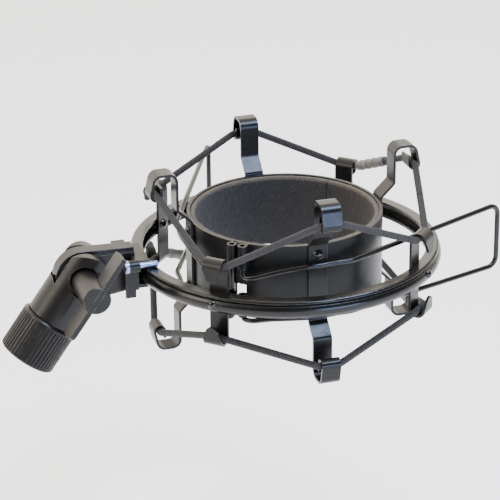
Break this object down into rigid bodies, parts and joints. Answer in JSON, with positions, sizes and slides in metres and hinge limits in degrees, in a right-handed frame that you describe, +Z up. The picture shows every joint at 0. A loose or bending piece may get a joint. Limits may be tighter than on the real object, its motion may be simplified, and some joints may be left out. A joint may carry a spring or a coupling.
{
  "type": "microphone shock mount",
  "caption": "Suspension mount for a studio microphone: a felt-lined cup that opens with wire levers, hung by elastic cords inside a ring on a tilting stand joint.",
  "frame": {"origin": "centre of the microphone bore of the cup", "axes": "+Z up along the microphone bore; the stand joint is on the -X side"},
  "size_m": [0.1963, 0.146, 0.0748],
  "materials": {
    "black_paint": "satin",
    "rivet_black": "gloss",
    "wire_black": "gloss",
    "bright_steel": "satin",
    "felt": "matte",
    "elastic": "matte",
    "sleeve": "matte"
  },
  "bodies": {
    "stand_side": {"stand_collar": "black_paint"},
    "swivel": {"swivel_body": "black_paint", "collar_clip": "bright_steel", "tilt_nut": "bright_steel"},
    "tilt_lever": {"tilt_screw": "black_paint", "tilt_screw_bar": "black_paint"},
    "suspension": {"outer_ring": "black_paint", "ring_bracket": "black_paint", "bracket_screw": "bright_steel", "ring_hook_1": "black_paint", "ring_hook_2": "black_paint", "ring_hook_3": "black_paint", "ring_hook_4": "black_paint", "ring_rivet_1": "rivet_black", "ring_rivet_2": "rivet_black", "ring_rivet_3": "rivet_black", "ring_rivet_4": "rivet_black", "upper_elastic": "elastic", "lower_elastic": "elastic", "upper_splice_sleeve": "sleeve", "lower_splice_sleeve": "sleeve"},
    "cradle": {"hinge_pin": "bright_steel", "closing_spring": "bright_steel"},
    "jaw_right": {"clamp_shell_right": "black_paint", "felt_right": "felt", "cup_hook_3": "black_paint", "cup_hook_4": "black_paint", "cup_rivets_3": "rivet_black", "cup_rivets_4": "rivet_black", "handle_right": "wire_black"},
    "jaw_left": {"clamp_shell_left": "black_paint", "felt_left": "felt", "cup_hook_1": "black_paint", "cup_hook_2": "black_paint", "cup_rivets_1": "rivet_black", "cup_rivets_2": "rivet_black", "handle_left": "wire_black"}
  },
  "joints": [
    {"name": "collar_turn", "type": "hinge", "parent": "stand_side", "child": "swivel", "pos_m": [-0.082, 0, -0.0012], "axis": [-0.5878, 0, -0.809], "continuous": true},
    {"name": "tilt_screw_turn", "type": "hinge", "parent": "swivel", "child": "tilt_lever", "pos_m": [-0.082, 0, -0.0012], "axis": [0, 1, 0], "continuous": true},
    {"name": "bracket_tilt", "type": "hinge", "parent": "swivel", "child": "suspension", "pos_m": [-0.082, 0, -0.0012], "axis": [0, 1, 0], "range_deg": [-105, 15]},
    {"name": "cradle_float", "type": "slide", "parent": "suspension", "child": "cradle", "axis": [0, 0, 1], "range_m": [-0.004, 0.004], "stiffness_N_per_m": 1200, "springref_m": 0.001, "deforming": ["upper_elastic", "lower_elastic", "upper_splice_sleeve", "lower_splice_sleeve"]},
    {"name": "jaw_right_open", "type": "hinge", "parent": "cradle", "child": "jaw_right", "pos_m": [0.02871, 0.02871, 0], "axis": [0, 0, 1], "range_deg": [0, 3], "stiffness_Nm_per_rad": 1, "springref_deg": -14.32, "deforming": ["upper_elastic", "lower_elastic", "upper_splice_sleeve", "lower_splice_sleeve", "closing_spring"]},
    {"name": "jaw_left_open", "type": "hinge", "parent": "cradle", "child": "jaw_left", "pos_m": [0.02871, 0.02871, 0], "axis": [0, 0, 1], "range_deg": [-3, 0], "stiffness_Nm_per_rad": 1, "springref_deg": 14.32, "deforming": ["upper_elastic", "lower_elastic", "upper_splice_sleeve", "lower_splice_sleeve", "closing_spring"]}
  ],
  "couplings": [
    {"joint": "jaw_left_open", "follows": "jaw_right_open", "ratio": -1}
  ]
}
